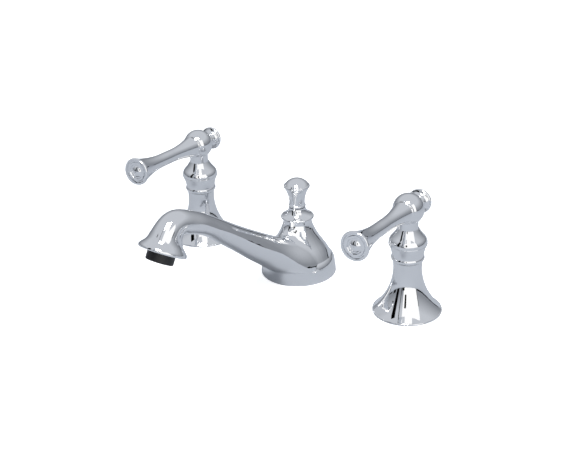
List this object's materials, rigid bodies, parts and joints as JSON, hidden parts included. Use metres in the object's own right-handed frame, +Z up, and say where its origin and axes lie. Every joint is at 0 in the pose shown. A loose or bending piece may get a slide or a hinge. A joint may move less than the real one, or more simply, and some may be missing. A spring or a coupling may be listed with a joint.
{
  "type": "three-hole basin tap",
  "caption": "chromed basin tap for a wide-spread deck: arched bell-mouth spout with a lift knob, and lever handles on flared bells that turn ceramic-disc valves",
  "frame": {"origin": "centre of the spout's round foot, on the deck's top face", "axes": "+Z up off the deck; the spout reaches out towards -Y, which is the front; +X runs from the left handle to the right handle as seen from the front"},
  "size_m": [0.253, 0.1816, 0.1903],
  "materials": {
    "polished_chrome": "polished chrome plate on brass",
    "raw_brass": "machined brass",
    "steel": "plain stainless steel",
    "black_plastic": "black moulded plastic",
    "grid_plastic": "pale moulded plastic",
    "black_rubber": "black rubber",
    "ceramic_disc": "lapped ceramic"
  },
  "bodies": {
    "root": {"left_escutcheon": "polished_chrome", "left_fixed_disc": "ceramic_disc", "left_seat_seal": "black_rubber", "left_cartridge_body": "raw_brass", "left_valve_body": "raw_brass", "left_top_washer": "steel", "left_top_nut": "raw_brass", "left_valve_rubber_washer": "black_rubber", "left_valve_steel_washer": "steel", "left_valve_lock_nut": "raw_brass", "right_escutcheon": "polished_chrome", "right_fixed_disc": "ceramic_disc", "right_seat_seal": "black_rubber", "right_cartridge_body": "raw_brass", "right_valve_body": "raw_brass", "right_top_washer": "steel", "right_top_nut": "raw_brass", "right_valve_rubber_washer": "black_rubber", "right_valve_steel_washer": "steel", "right_valve_lock_nut": "raw_brass", "spout_body": "polished_chrome", "aerator_housing": "black_plastic", "aerator_washer": "black_rubber", "aerator_insert": "grid_plastic", "rod_bush": "black_plastic", "base_gasket": "black_rubber", "mounting_shank": "raw_brass", "spout_rubber_washer": "black_rubber", "spout_steel_washer": "steel", "spout_lock_nut": "raw_brass", "supply_tube": "raw_brass", "hose_tee": "raw_brass"},
    "left_handle": {"left_handle_hub": "polished_chrome", "left_lever": "polished_chrome", "left_finial": "polished_chrome", "left_set_screw": "steel", "left_stem": "raw_brass", "left_stem_ring": "black_rubber", "left_rotating_disc": "ceramic_disc"},
    "right_handle": {"right_handle_hub": "polished_chrome", "right_lever": "polished_chrome", "right_finial": "polished_chrome", "right_set_screw": "steel", "right_stem": "raw_brass", "right_stem_ring": "black_rubber", "right_rotating_disc": "ceramic_disc"},
    "lift": {"lift_knob": "polished_chrome", "lift_rod": "steel"}
  },
  "joints": [
    {"name": "left_turn", "type": "hinge", "parent": "root", "child": "left_handle", "pos_m": [-0.1016, 0, 0], "axis": [0, 0, 1], "range_deg": [-90, 0]},
    {"name": "right_turn", "type": "hinge", "parent": "root", "child": "right_handle", "pos_m": [0.1016, 0, 0], "axis": [0, 0, 1], "range_deg": [0, 90]},
    {"name": "lift_slide", "type": "slide", "parent": "root", "child": "lift", "axis": [0, 0, 1], "range_m": [0, 0.02]}
  ]
}
